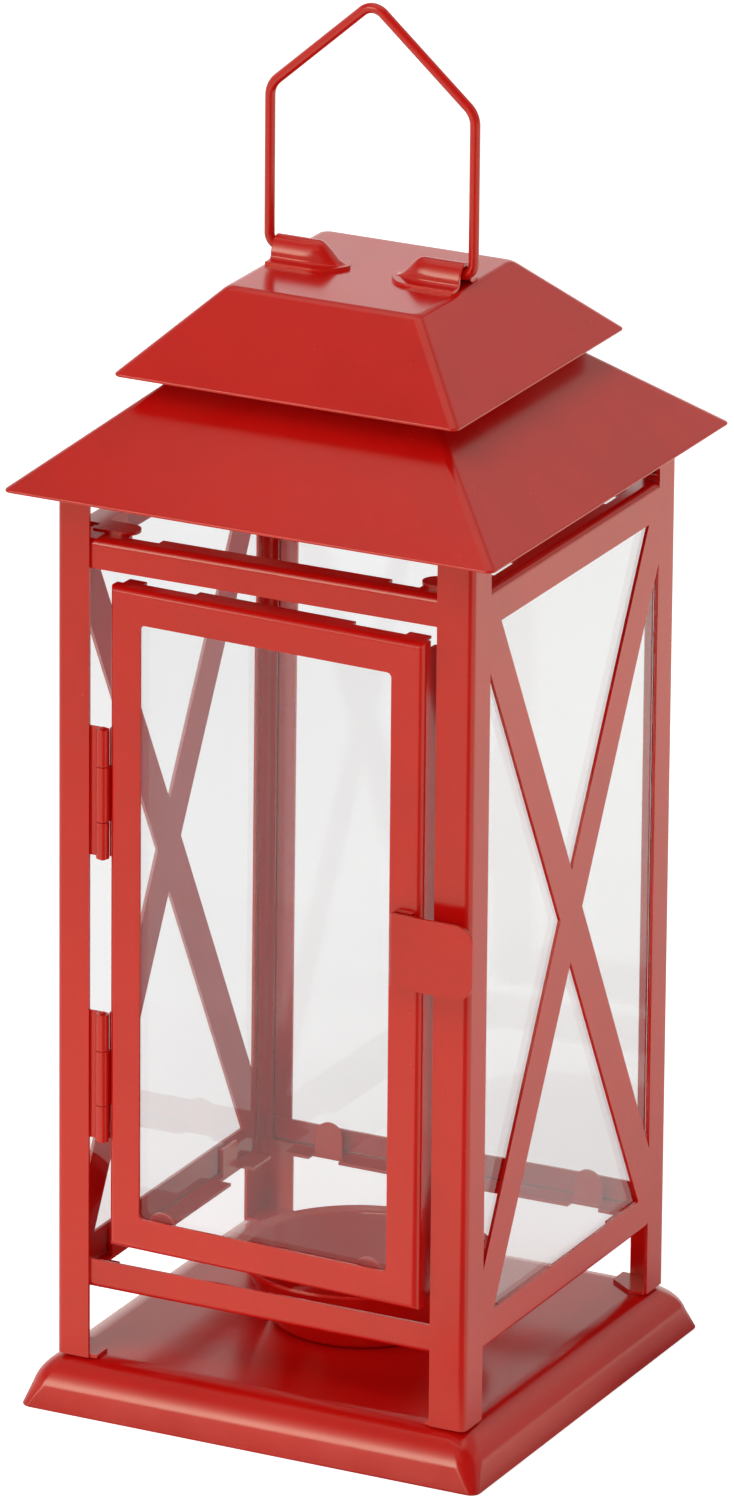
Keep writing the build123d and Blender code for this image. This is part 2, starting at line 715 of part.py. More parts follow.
def handle_ear():
    """Right-hand ear: pressed plate with a hollow tunnel, on the cap's flat."""
    core = tunnel(EAR_END + 1, EAR_HALF - SHEET, CAP_TOP - 1, tip=(8.4, 0.6, 0.1, 0.3))
    with BuildPart() as plate:
        with BuildSketch(Plane.XY.offset(CAP_TOP)):
            with BuildLine():
                Polyline(
                    (EAR_END, -EAR_PLATE_HALF), (EAR_END, EAR_PLATE_HALF),
                    (EAR_SHOULDER_X, EAR_PLATE_HALF), (EAR_TIP, 1.0),
                    (EAR_TIP, -1.0), (EAR_SHOULDER_X, -EAR_PLATE_HALF),
                    close=True,
                )
            make_face()
            fillet(vertices().filter_by(lambda v: abs(v.X - EAR_TIP) < 0.1), 0.8)
            fillet(vertices().filter_by(lambda v: abs(v.X - EAR_SHOULDER_X) < 0.1), 4.0)
        extrude(amount=SHEET)
    outer = tunnel(EAR_END, EAR_HALF, CAP_TOP, tip=(7.0, 1.0, 0.6, 0.4), base=plate.part)
    return hollowed(outer, core)


right_ear = handle_ear()
save(right_ear, "handle_ear_right")
save(mirrored(right_ear), "handle_ear_left")

# ---------------------------------------------------------------- handle wire
WIRE_R = 1.25
WIRE_END_X = 14.5            # inner ends, inside the ears
LEG_X = 27.05
PIVOT_Z = 282.1
SHOULDER_Z = 321.7
APEX_Z = 345.5


def handle_wire():
    """Bent wire: ends turned in, upright legs and a peaked top."""
    with BuildPart() as wire:
        with BuildLine():
            FilletPolyline(
                (-WIRE_END_X, 0, PIVOT_Z),
                (-LEG_X, 0, PIVOT_Z),
                (-LEG_X, 0, SHOULDER_Z),
                (0, 0, APEX_Z),
                (LEG_X, 0, SHOULDER_Z),
                (LEG_X, 0, PIVOT_Z),
                (WIRE_END_X, 0, PIVOT_Z),
                radius=[3.0, 5.8, 4.2, 5.8, 3.0],
            )
        with BuildSketch(Plane(origin=(-WIRE_END_X, 0, PIVOT_Z), z_dir=(-1, 0, 0))):
            Circle(WIRE_R)
        sweep()
    return wire.part


save(handle_wire(), "handle_wire")
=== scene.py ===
import math

import bmesh
import bpy
from mathutils import Matrix, Vector


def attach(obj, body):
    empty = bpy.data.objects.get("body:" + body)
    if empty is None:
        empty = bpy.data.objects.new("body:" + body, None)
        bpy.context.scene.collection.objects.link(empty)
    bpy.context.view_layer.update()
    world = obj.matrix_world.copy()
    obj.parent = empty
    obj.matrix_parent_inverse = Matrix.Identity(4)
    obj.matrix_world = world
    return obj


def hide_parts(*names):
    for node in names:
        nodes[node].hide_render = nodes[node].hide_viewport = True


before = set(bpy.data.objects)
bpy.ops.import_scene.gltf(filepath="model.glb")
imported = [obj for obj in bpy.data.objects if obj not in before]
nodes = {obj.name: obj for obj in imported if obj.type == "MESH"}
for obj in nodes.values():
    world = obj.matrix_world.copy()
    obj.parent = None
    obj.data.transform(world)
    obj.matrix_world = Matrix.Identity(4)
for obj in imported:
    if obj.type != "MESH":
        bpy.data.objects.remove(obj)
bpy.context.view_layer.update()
scene = bpy.context.scene

# finish of the CAD pieces, metres
ARRIS = 0.00022
SMALL_ARRIS = 0.00012
GLASS_ARRIS = 0.00025
WELD = 2e-6
FLAT_ANGLE = 0.6            # degrees: faces closer than this merge into one
ARRIS_ANGLE = 32.0          # degrees: sharper edges are bevelled

# pressed pieces, millimetres
MM = 0.001
SHEET = 0.8
BASE_TOP = 13.0
CAP_TOP = 279.1
CAP_RIM = 259.2
ROOF_RIM = 233.0
RIM_BAND = 0.6              # upright band at the rim of both roof pieces
RIM_MARGIN = 0.12           # rows this close to the rim count as cut edge

# linear colours
RED = (0.600, 0.0050, 0.0035)
RED_DEEP = (0.515, 0.0032, 0.0024)
# painted highlight: lighter, more orange red for the arrises and cut edges, standing in for the
# glint their bends catch
RED_EDGE_HIGHLIGHT = (0.670, 0.020, 0.012)
RED_NIB = (0.36, 0.004, 0.003)
PALE_DUST = (0.75, 0.30, 0.26)
PANE_TINT = (0.934, 0.935, 0.935)


# ---------------------------------------------------------------- node helpers
class Nodes:
    """Builds one node tree. Values may be numbers or the outputs of other nodes."""

    def __init__(self, tree):
        self.tree = tree
        tree.nodes.clear()

    def new(self, kind, inputs=None, **props):
        node = self.tree.nodes.new(kind)
        for key, value in props.items():
            setattr(node, key, value)
        for key, value in (inputs or {}).items():
            socket = node.inputs[key]
            if isinstance(value, bpy.types.NodeSocket):
                self.tree.links.new(value, socket)
            else:
                socket.default_value = value
        return node

    def math(self, operation, *values, clamp=False):
        return self.new("ShaderNodeMath", dict(enumerate(values)),
                        operation=operation, use_clamp=clamp).outputs[0]

    def add(self, a, b):
        return self.math("ADD", a, b)

    def mul(self, a, b):
        return self.math("MULTIPLY", a, b)

    def rest(self, a):
        """1 - a"""
        return self.math("SUBTRACT", 1.0, a)

    def sway(self, base, noise, amount):
        """The base, moved up and down by a noise centred on 0.5."""
        return self.math("MULTIPLY_ADD", self.math("SUBTRACT", noise, 0.5), amount, base)

    def noise(self, vector, scale, detail=2.0, rough=0.5, distortion=0.0):
        return self.new("ShaderNodeTexNoise", {
            "Vector": vector, "Scale": scale, "Detail": detail,
            "Roughness": rough, "Distortion": distortion}).outputs["Fac"]

    def cells(self, vector, scale):
        """Distance to the nearest cell point, and that cell's three random values."""
        voronoi = self.new("ShaderNodeTexVoronoi", {"Vector": vector, "Scale": scale})
        split = self.new("ShaderNodeSeparateColor", {0: voronoi.outputs["Color"]})
        return voronoi.outputs["Distance"], split.outputs

    def ramp(self, factor, stops):
        """stops: (position, colour)"""
        node = self.new("ShaderNodeValToRGB", {0: factor})
        elements = node.color_ramp.elements
        while len(elements) < len(stops):
            elements.new(0.5)
        for element, (position, color) in zip(elements, stops):
            element.position = position
            element.color = (*color, 1.0)
        return node.outputs[0]

    def span(self, value, between, gives=(0.0, 1.0), smooth=False):
        """Maps one range of values onto another, held at both ends."""
        kind = "SMOOTHSTEP" if smooth else "LINEAR"
        inputs = dict(enumerate((value, *between, *gives)))
        return self.new("ShaderNodeMapRange", inputs, clamp=True,
                        interpolation_type=kind).outputs[0]

    def mix(self, factor, a, b, mode="MIX"):
        a, b = ((*c, 1.0) if isinstance(c, tuple) else c for c in (a, b))
        return self.new("ShaderNodeMix", {0: factor, 6: a, 7: b},
                        data_type="RGBA", blend_type=mode).outputs[2]

    def mix_shader(self, factor, a, b):
        return self.new("ShaderNodeMixShader", {0: factor, 1: a, 2: b}).outputs[0]

    def grey(self, value):
        return self.new("ShaderNodeCombineColor", {0: value, 1: value, 2: value}).outputs[0]

    def split(self, vector):
        return self.new("ShaderNodeSeparateXYZ", {0: vector}).outputs

    def length(self, x, y):
        return self.math("SQRT", self.add(self.math("POWER", x, 2.0),
                                          self.math("POWER", y, 2.0)))

    def facing(self, x, y, length, azimuth):
        """Cosine of the angle between (x, y) and an azimuth."""
        turn = math.radians(azimuth)
        along = self.add(self.mul(x, math.sin(turn)), self.mul(y, -math.cos(turn)))
        return self.math("DIVIDE", along, length)

    def seeded_place(self, seed, steps):
        """Object coordinates, moved along by the seed."""
        coords = self.new("ShaderNodeTexCoord").outputs["Object"]
        location = tuple(seed * step for step in steps)
        return self.new("ShaderNodeMapping",
                        {"Vector": coords, "Location": location}).outputs[0]

    def relief(self, height):
        """Surface normal from a height in micrometres."""
        return self.new("ShaderNodeBump", {"Strength": 1.0, "Distance": 1.0e-6,
                                           "Height": height}).outputs[0]

    def finish(self, shader, kind="ShaderNodeOutputMaterial"):
        self.new(kind, {0: shader})


def new_material(name):
    material = bpy.data.materials.new(name)
    material.use_nodes = True
    return material, Nodes(material.node_tree)


# ---------------------------------------------------------------- materials
def enamel(name, seed, rough=0.17, edge=False, wave=1.0):
    """Sprayed semi-gloss enamel on sheet steel: slow tone drift, fine orange
    peel, sparse nibs and dust, faint wipe marks. With edge set it is the lighter,
    more orange copy for the arrises and cut edges, a painted highlight."""
    material, t = new_material(name)
    place = t.seeded_place(seed, steps=(0.37, 0.73, 0.19))
    drift = t.noise(place, scale=14.0)
    cloud = t.noise(place, scale=90.0, detail=3.0, rough=0.55)     # spray mottling
    peel = t.noise(place, scale=720.0, rough=0.45)                 # orange peel
    grain = t.noise(place, scale=2600.0, rough=0.6)                # pigment grain

    tone = t.sway(0.5, drift, amount=0.9)
    tone = t.sway(tone, cloud, amount=0.45)
    tone = t.sway(tone, grain, amount=0.22)
    # painted highlight: the arris copy runs lighter and more orange than the faces
    base, deep = (RED_EDGE_HIGHLIGHT, RED) if edge else (RED, RED_DEEP)
    light = tuple(c * gain for c, gain in zip(base, (1.06, 1.35, 1.25)))
    color = t.ramp(tone, [(0.18, deep), (0.52, base), (0.86, light)])

    # nibs caught in the paint: a fifth of the cells, each of its own size
    distance, random = t.cells(place, scale=130.0)
    rare = t.math("GREATER_THAN", random[0], 0.80)
    size = t.math("MULTIPLY_ADD", random[1], 0.030, 0.018)
    nib = t.math("SUBTRACT", 1.0, t.math("DIVIDE", distance, size), clamp=True)
    nib = t.mul(nib, rare)
    # pin specks of dust on it: rarer cells, all of one size
    distance, random = t.cells(place, scale=310.0)
    dust = t.mul(t.math("GREATER_THAN", random[2], 0.93),
                 t.math("LESS_THAN", distance, 0.045))
    dust_cover, nib_cover = 0.10, 0.22
    color = t.mix(t.mul(dust, dust_cover), color, PALE_DUST)
    color = t.mix(t.mul(nib, nib_cover), color, RED_NIB)

    # roughness: mottled, varied by soft wipe streaks, dull on dust
    stretched = t.new("ShaderNodeMapping", {
        "Vector": place, "Scale": (9.0, 9.0, 55.0), "Rotation": (0.35, 0.2, 0.5)}).outputs[0]
    streak = t.noise(stretched, scale=4.0, detail=3.0, rough=0.6, distortion=0.4)
    gloss = t.sway(rough, cloud, amount=0.10)
    gloss = t.sway(gloss, streak, amount=0.07)
    gloss = t.sway(gloss, grain, amount=0.05)
    dust_rough, least, most = 0.25, 0.08, 0.9
    gloss = t.add(gloss, t.mul(dust, dust_rough))
    gloss = t.math("MINIMUM", t.math("MAXIMUM", gloss, least), most)

    # relief, micrometres: pressed-sheet waviness first, then the finer layers
    sheet = t.noise(place, scale=26.0, detail=1.0, rough=0.4)
    height = t.mul(sheet, 90.0 * wave)
    for layer, depth in ((cloud, 7.0 * wave), (peel, 1.25), (grain, 0.25), (nib, 16.0)):
        height = t.math("MULTIPLY_ADD", layer, depth, height)

    t.finish(t.new("ShaderNodeBsdfPrincipled", {
        "Base Color": color, "Roughness": gloss, "Normal": t.relief(height),
        "IOR": 1.576, "Specular Tint": (1.0, 1.0, 0.78, 1.0)}).outputs[0])
    return material


def pane_glass(name, axis, seed):
    """Clear float glass: faintly grey through its faces, grey-green and ground
    at the cut edges; lamps reach what is behind it. The faces look along axis."""
    material, t = new_material(name)
    normal = t.new("ShaderNodeNewGeometry").outputs["True Normal"]
    across = t.split(normal)["XYZ".index(axis)]
    face = t.math("GREATER_THAN", t.math("ABSOLUTE", across), 0.9)
    place = t.seeded_place(seed, steps=(1.0, 0.4, 0.9))
    smear = t.noise(place, scale=32.0, detail=4.0, rough=0.62, distortion=0.6)
    ground = t.noise(place, scale=900.0, rough=0.6)
    mottle = t.noise(place, scale=210.0, detail=3.0, rough=0.6)
    edge_color = t.ramp(mottle, [(0.3, (0.30, 0.40, 0.37)), (0.7, (0.52, 0.62, 0.59))])
    smeared = tuple(c * 0.985 for c in PANE_TINT)
    face_color = t.ramp(smear, [(0.25, smeared), (0.75, PANE_TINT)])
    color = t.mix(face, edge_color, face_color)

    # relief, micrometres: slow waves all over, ground only at the edges
    wave_depth, ground_depth = 60.0, 30.0
    height = t.mul(t.noise(place, scale=9.0, detail=1.0, rough=0.4), wave_depth)
    height = t.add(height, t.mul(t.rest(face), t.mul(ground, ground_depth)))

    glass = t.new("ShaderNodeBsdfPrincipled", {
        "Base Color": color, "Roughness": 0.0, "IOR": 1.5,
        "Transmission Weight": 1.0, "Normal": t.relief(height)}).outputs[0]
    clear = t.new("ShaderNodeBsdfTransparent", {0: (0.98, 0.98, 0.98, 1.0)}).outputs[0]
    ray = t.new("ShaderNodeLightPath").outputs
    shader = t.mix_shader(ray["Is Diffuse Ray"], glass, clear)
    t.finish(t.mix_shader(ray["Is Shadow Ray"], shader, clear))
    return material


# ---------------------------------------------------------------- finish of the CAD nodes
def modifier(owner, name, kind, **settings):
    made = owner.modifiers.new(name, kind)
    for key, value in settings.items():
        setattr(made, key, value)
    return made


def add_bevel(owner, width, segments, angle, material=-1):
    modifier(owner, "arris", "BEVEL", width=width, segments=segments,
             limit_method="ANGLE", angle_limit=math.radians(angle), material=material)


def add_normals(owner):
    modifier(owner, "normals", "WEIGHTED_NORMAL", mode="FACE_AREA", weight=50, keep_sharp=False)


def dress(name, finishes, bevel, segments):
    """Softens a node's arrises and gives it its materials; a second one, lighter as a painted
    highlight, goes on the arrises.
    """
    node = nodes[name]
    node.data.materials.clear()
    for finish in finishes:
        node.data.materials.append(finish)
    modifier(node, "weld", "WELD", merge_threshold=WELD)
    modifier(node, "flats", "DECIMATE", decimate_type="DISSOLVE",
             angle_limit=math.radians(FLAT_ANGLE), use_dissolve_boundaries=False)
    add_bevel(node, bevel, segments, ARRIS_ANGLE, material=1 if len(finishes) > 1 else -1)
    add_normals(node)


def dress_painted():
    seed_step, edge_highlight_seed = 1.7, 0.4
    painted = sorted(name for name in nodes if not name.startswith("glass_"))
    for i, name in enumerate(painted):
        small = name.startswith(("hinge", "handle", "door_latch"))
        seed = i * seed_step
        face = enamel("enamel_" + name, seed, rough=0.235 if name == "roof_lower" else 0.17,
                      wave=0.35 if small or name == "candle_dish" else 1.0)
        # painted highlight: the arrises get the lighter enamel copy
        edge = enamel("enamel_edge_" + name, seed + edge_highlight_seed, edge=True, wave=0.2)
        dress(name, [face, edge], bevel=SMALL_ARRIS if small else ARRIS, segments=2)


def dress_panes():
    seed_step = 3.1
    panes = (("glass_left", "X"), ("glass_right", "X"), ("glass_rear", "Y"), ("glass_door", "Y"))
    for i, (name, axis) in enumerate(panes):
        glass = pane_glass("pane_" + name, axis, seed=seed_step * i)
        dress(name, [glass], bevel=GLASS_ARRIS, segments=1)


dress_painted()
dress_panes()


# ---------------------------------------------------------------- remade pressed pieces
def piece(name, node, verts, faces, marks, bevel=0.0):
    """A painted piece that rides the lantern body and stands for one CAD node.
    marks: 1 for each face with the lighter arris enamel, a painted highlight; else 0."""
    mesh = bpy.data.meshes.new(name)
    mesh.from_pydata([Vector(v) * MM for v in verts], [], faces)
    for prefix in ("enamel_", "enamel_edge_"):
        mesh.materials.append(bpy.data.materials[prefix + node])
    for polygon, mark in zip(mesh.polygons, marks):
        polygon.material_index = mark
        polygon.use_smooth = True
    bm = bmesh.new()
    bm.from_mesh(mesh)
    bmesh.ops.recalc_face_normals(bm, faces=bm.faces)
    bm.to_mesh(mesh)
    bm.free()
    made = bpy.data.objects.new(name, mesh)
    scene.collection.objects.link(made)
    if bevel:
        add_bevel(made, bevel, segments=2, angle=40, material=1)
    add_normals(made)
    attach(made, "lantern")
    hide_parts(node)


def rounded(path):
    """(half width, z, corner radius) rows down a section, with its bends rounded."""
    rows = []
    most = 0.75                      # share of a straight that one bend may take
    for i, (half, z, corner, fillet, steps) in enumerate(path):
        if not fillet:
            rows.append((half, z, corner))
            continue
        bend = Vector((half, z))
        before = Vector(path[i - 1][:2]) - bend
        after = Vector(path[i + 1][:2]) - bend
        half_angle = before.angle(after) / 2
        cut = min(fillet / math.tan(half_angle), before.length * most, after.length * most)
        radius = cut * math.tan(half_angle)
        before.normalize()
        after.normalize()
        center = bend + (before + after).normalized() * (radius / math.sin(half_angle))
        first, last = bend + before * cut - center, bend + after * cut - center
        turn = first.angle(last)
        for step in range(steps + 1):
            w = step / steps
            point = center + (first * math.sin((1 - w) * turn)
                              + last * math.sin(w * turn)) / math.sin(turn)
            rows.append((point.x, point.y, corner))
    return rows


CORNER_SIGNS = ((1, 1), (-1, 1), (-1, -1), (1, -1))
CORNER_STEPS = 8
SIDE_STEPS = 5


def square_ring(half, z, corner):
    """Points around a square with rounded corners."""
    center = half - corner

    def on_corner(index, degrees):
        sign_x, sign_y = CORNER_SIGNS[index % 4]
        a = math.radians(degrees)
        return sign_x * center + corner * math.cos(a), sign_y * center + corner * math.sin(a)

    points = []
    for quarter in range(4):
        for i in range(CORNER_STEPS + 1):
            points.append((*on_corner(quarter, 90 * quarter + 90 * i / CORNER_STEPS), z))
        x0, y0, _ = points[-1]
        x1, y1 = on_corner(quarter + 1, 90 * (quarter + 1))
        for j in range(1, SIDE_STEPS):
            w = j / SIDE_STEPS
            points.append((x0 + (x1 - x0) * w, y0 + (y1 - y0) * w, z))
    return points


def square_pressing(name, node, path, rim_z, closed_top):
    """Square sheet pressing. A closed top caps both ends of the section; an open
    one joins its last row to its first."""
    rows = rounded(path)
    verts = [point for row in rows for point in square_ring(*row)]
    count = len(rows)
    size = len(verts) // count
    faces, marks = [], []
    for k in range(count - 1 if closed_top else count):
        k2 = (k + 1) % count
        # faces of the cut rim take the lighter arris enamel, a painted highlight
        at_rim = all(abs(rows[row][1] - rim_z) < RIM_MARGIN for row in (k, k2))
        for i in range(size):
            j = (i + 1) % size
            faces.append((k * size + i, k * size + j, k2 * size + j, k2 * size + i))
            marks.append(int(at_rim))
    if closed_top:
        faces.append(tuple(range(size)))
        faces.append(tuple(range((count - 1) * size, count * size)))
        marks += [0, 0]
    piece(name, node, verts, faces, marks)


# Sections, outer skin first and then the inner one back to the middle:
# half width, z, corner radius in plan, bend radius, bend steps
BASE_IN = BASE_TOP - SHEET
BASE_PATH = [
    (9.0, BASE_TOP, 3.4, 0, 0), (25.0, BASE_TOP, 4.0, 0, 0), (40.0, BASE_TOP, 4.8, 0, 0),
    (58.388, BASE_TOP, 4.8, 9.8, 14), (61.75, 0.0, 2.4, 0.6, 4),
    (60.924, 0.0, 1.8, 0.15, 1), (57.769, BASE_IN, 4.0, 9.0, 9),
    (40.0, BASE_IN, 4.0, 0, 0), (25.0, BASE_IN, 3.2, 0, 0), (9.0, BASE_IN, 2.6, 0, 0)]
CAP_IN = CAP_TOP - SHEET
CAP_PATH = [
    (8.0, CAP_TOP, 2.0, 0, 0), (18.0, CAP_TOP, 2.0, 0, 0), (25.505, CAP_TOP, 2.0, 3.0, 9),
    (35.0, 269.843, 2.0, 0, 0), (45.3, CAP_RIM + RIM_BAND, 2.0, 0.5, 4),
    (45.3, CAP_RIM, 2.0, 0.2, 3), (44.054, CAP_RIM, 1.2, 0.15, 2),
    (44.054, 259.897, 1.2, 0.2, 2), (25.180, CAP_IN, 1.2, 2.2, 6),
    (18.0, CAP_IN, 1.2, 0, 0), (8.0, CAP_IN, 1.2, 0, 0)]
ROOF_PATH = [
    (24.0, 266.162, 1.5, 0, 0), (34.0, 258.112, 1.7, 0, 0), (49.0, 246.037, 1.9, 0, 0),
    (64.45, ROOF_RIM + RIM_BAND, 2.0, 0.6, 4), (64.45, ROOF_RIM, 2.0, 0.2, 3),
    (63.024, ROOF_RIM, 1.2, 0.15, 2), (63.024, 233.721, 1.2, 0.2, 2),
    (49.0, 245.01, 1.2, 0, 0), (34.0, 257.085, 1.2, 0, 0), (24.0, 265.135, 1.2, 0, 0)]

square_pressing("base_pan_skin", "base_tray", BASE_PATH, rim_z=0.0, closed_top=True)
square_pressing("roof_cap_skin", "roof_cap", CAP_PATH, rim_z=CAP_RIM, closed_top=True)
square_pressing("roof_lower_skin", "roof_lower", ROOF_PATH, rim_z=ROOF_RIM, closed_top=False)

# Ears on the roof cap, millimetres
TUNNEL_HALF, TUNNEL_HIGH = 3.6, 5.2
TUNNEL_START = 0.75                  # height above the plate where the wall leaves the foot
FOOT_RADIUS, FOOT_STEPS = 0.8, 5
WALL_STEPS = 18
PLATE_HALF, PLATE_TIP = 6.6, 0.12    # half width of the plate, and least half width
EAR_ARRIS = 0.00010                  # metres
# distance of each station from the lantern's middle, from the outer end inwards
EAR_STATIONS = (
    24.9, 24.6, 22.0, 19.5, 18.5, 17.5, 16.5, 15.6, 14.8, 14.0, 13.4, 12.8, 12.2, 11.6,
    11.0, 10.4, 9.8, 9.2, 8.6, 8.0, 7.4, 6.9, 6.5, 6.2, 5.95, 5.78, 5.68)


def ear_section():
    """(y, z, normal y, normal z) from the tunnel's foot on the plate to its crown."""
    start = math.asin(TUNNEL_START / TUNNEL_HIGH)
    lean = math.atan(math.tan(start) * TUNNEL_HALF / TUNNEL_HIGH)
    foot_y = TUNNEL_HALF * math.cos(start) + FOOT_RADIUS * math.cos(lean)
    foot_z = SHEET + FOOT_RADIUS
    section = []
    for k in range(FOOT_STEPS + 1):                      # concave foot
        a = (math.pi / 2 - lean) * k / FOOT_STEPS
        section.append((foot_y - FOOT_RADIUS * math.sin(a), foot_z - FOOT_RADIUS * math.cos(a),
                        math.sin(a), math.cos(a)))
    for k in range(1, WALL_STEPS + 1):                   # wall and crown, one elliptic curve
        a = start + (math.pi / 2 - start) * k / WALL_STEPS
        normal_y, normal_z = math.cos(a) / TUNNEL_HALF, math.sin(a) / TUNNEL_HIGH
        size = math.hypot(normal_y, normal_z)
        section.append((TUNNEL_HALF * math.cos(a), SHEET + TUNNEL_HIGH * math.sin(a),
                        normal_y / size, normal_z / size))
    return section


def inward(x, start, end):
    """0 outside start, growing to 1 at end and beyond."""
    return min(max((start - x) / (start - end), 0.0), 1.0)


def ear_rows(x, section):
    """Half of the upper and of the lower (y, z) rows at one station."""
    rise = 0.5 + 0.5 * math.cos(math.pi * inward(x, start=14.0, end=6.8))
    wide = 1 - 0.70 * inward(x, start=18.5, end=6.8) ** 2.2
    taper = (1 - inward(x, start=12.8, end=5.6) ** 1.9) ** 0.78
    edge = max(PLATE_HALF * taper, PLATE_TIP)
    foot = min(section[0][0] * wide, edge * 0.72)
    scale = foot / section[0][0]
    flat = [edge + (foot - edge) * w for w in (0.0, 0.5)]
    upper = [(y, SHEET) for y in flat]
    lower = [(y, 0.0) for y in flat]
    for y, z, normal_y, normal_z in section:
        upper.append((y * scale, SHEET + (z - SHEET) * rise))
        lower.append((max(y - normal_y * SHEET, 0.0) * scale,
                      max(z - normal_z * SHEET, 0.0) * rise))
    return upper, lower


def stamped_ear(name, node, side):
    """Stamped ear: a plate with a pointed inner end and a steep-walled tunnel
    over the wire's end, closing to a soft nose. side: -1 left, 1 right."""
    section = ear_section()
    layers = ([], [])
    for x in EAR_STATIONS:
        for layer, row in zip(layers, ear_rows(x, section)):
            across = [(-y, z) for y, z in row] + [(y, z) for y, z in reversed(row[:-1])]
            layer.append([(side * x, y, z + CAP_TOP) for y, z in across])
    n, m = len(EAR_STATIONS), len(layers[0][0])
    verts = [point for layer in layers for row in layer for point in row]

    def at(layer, i, j):
        return layer * n * m + i * m + j

    skins = [(at(k, i, j), at(k, i, j + 1), at(k, i + 1, j + 1), at(k, i + 1, j))
             for i in range(n - 1) for j in range(m - 1) for k in (0, 1)]
    edges = [(at(0, i, j), at(0, i + 1, j), at(1, i + 1, j), at(1, i, j))
             for i in range(n - 1) for j in (0, m - 1)]
    edges += [(at(0, i, j), at(0, i, j + 1), at(1, i, j + 1), at(1, i, j))
              for j in range(m - 1) for i in (0, n - 1)]
    # the ear's cut edges take the lighter arris enamel, a painted highlight
    marks = [0] * len(skins) + [1] * len(edges)
    piece(name, node, verts, skins + edges, marks, bevel=EAR_ARRIS)


stamped_ear("ear_left_skin", "handle_ear_left", side=-1)
stamped_ear("ear_right_skin", "handle_ear_right", side=1)


# ---------------------------------------------------------------- floor
def floor_material():
    """Pale sheet that glows by itself; the glow differs by ray and by place."""
    material, t = new_material("pale_floor")
    place = t.new("ShaderNodeTexCoord").outputs["Object"]
    paint = t.ramp(t.noise(place, scale=3.0, detail=3.0),
                   [(0.3, (0.86, 0.86, 0.865)), (0.7, (0.90, 0.90, 0.90))])
    x, y = t.split(place)[:2]
    ray = t.new("ShaderNodeLightPath").outputs
    camera, through = ray["Is Camera Ray"], ray["Is Transmission Ray"]
    diffuse = ray["Is Diffuse Ray"]
    seen = t.math("MAXIMUM", camera, through)
    unseen = t.rest(seen)
    off = t.math("MAXIMUM", t.math("ABSOLUTE", x), t.math("ABSOLUTE", y))
    far = t.length(x, y)

    def facing(azimuth):
        return t.facing(x, y, t.math("MAXIMUM", far, 1e-4), azimuth)

    # the glow is less under and next to the lantern, so the panes and the
    # enamel see a soft contact shadow
    glow = t.span(off, between=(0.060, 0.105), gives=(0.12, 0.54), smooth=True)
    # it changes with distance behind on the right and at the front left
    for azimuth, between, gives in ((153, (0.12, 0.60), (-0.22, 0.26)),
                                    (-27, (0.14, 0.60), (0.14, -0.10))):
        sector = t.span(facing(azimuth), between=(0.50, 0.92), smooth=True)
        glow = t.add(glow, t.mul(sector, t.span(far, between, gives)))
    glow = t.math("MAXIMUM", glow, 0.0)

    # the light it sends up is weaker to the left and behind on the right
    left = t.span(x, between=(-0.22, -0.05), gives=(0.55, 0.0), smooth=True)
    back_right = t.mul(t.span(y, between=(0.0, 0.16), gives=(0.0, 0.55), smooth=True),
                       t.span(x, between=(0.0, 0.08), smooth=True))
    shade = t.rest(t.mul(t.math("MAXIMUM", left, back_right), diffuse))
    glow = t.mul(glow, shade)

    # nothing light stands in front of the camera's corner of the sheet, so the
    # vertical bends and the rounded corners that face it carry a dark line
    wedge_azimuth, wedge_in, wedge_out = 33.0, 9.0, 34.0
    diffuse_relief, glow_loss, paint_shade_loss = 0.6, 0.9, 0.85
    cosines = [math.cos(math.radians(angle)) for angle in (wedge_out, wedge_in)]
    wedge = t.mul(t.span(facing(wedge_azimuth), between=cosines, smooth=True),
                  t.span(far, between=(0.095, 0.14), smooth=True))
    wedge = t.mul(wedge, t.rest(t.mul(diffuse, diffuse_relief)))
    glow = t.mul(glow, t.rest(t.mul(wedge, glow_loss)))

    # painted shade: for rays that are neither camera nor transmission rays the floor's own
    # colour is darker in the wedge and next to the lantern, and for diffuse rays also to the
    # left and behind on the right
    dim = t.rest(t.mul(t.mul(wedge, paint_shade_loss), unseen))
    contact = t.span(off, between=(0.0605, 0.078), gives=(0.45, 1.0), smooth=True)
    dim = t.mul(dim, t.math("MAXIMUM", seen, contact))
    dim = t.mul(dim, shade)
    color = t.mix(1.0, paint, t.grey(dim), mode="MULTIPLY")
    sheet = t.new("ShaderNodeBsdfDiffuse", {0: color}).outputs[0]

    # fixed glow for the camera, and for rays through the glass
    camera_glow, through_glow = 0.80, 0.46
    strength = t.add(t.mul(glow, unseen), t.mul(camera_glow, camera))
    strength = t.add(strength, t.mul(through_glow, through))
    tint = t.mix(seen, (1.0, 0.99, 0.86), (1.0, 1.0, 1.0))
    shine = t.new("ShaderNodeEmission", {0: tint, 1: strength}).outputs[0]
    t.finish(t.new("ShaderNodeAddShader", {0: sheet, 1: shine}).outputs[0])
    return material


bpy.ops.mesh.primitive_grid_add(x_subdivisions=4, y_subdivisions=4, size=16.0,
                                location=(0, 0, -0.00005))
floor = bpy.context.object
floor.name = "floor"
floor.data.materials.append(floor_material())

# ---------------------------------------------------------------- light
RING_FRONT, RING_BACK = 0.45, 1.30   # level of the soft ring of sky
KEY_AZIMUTH, KEY_WIDTH = -28.0, 9.0  # bright window, degrees; the width is to one side
KEY_PEAK = 6.0                       # keeps the key's ramp colours below 1
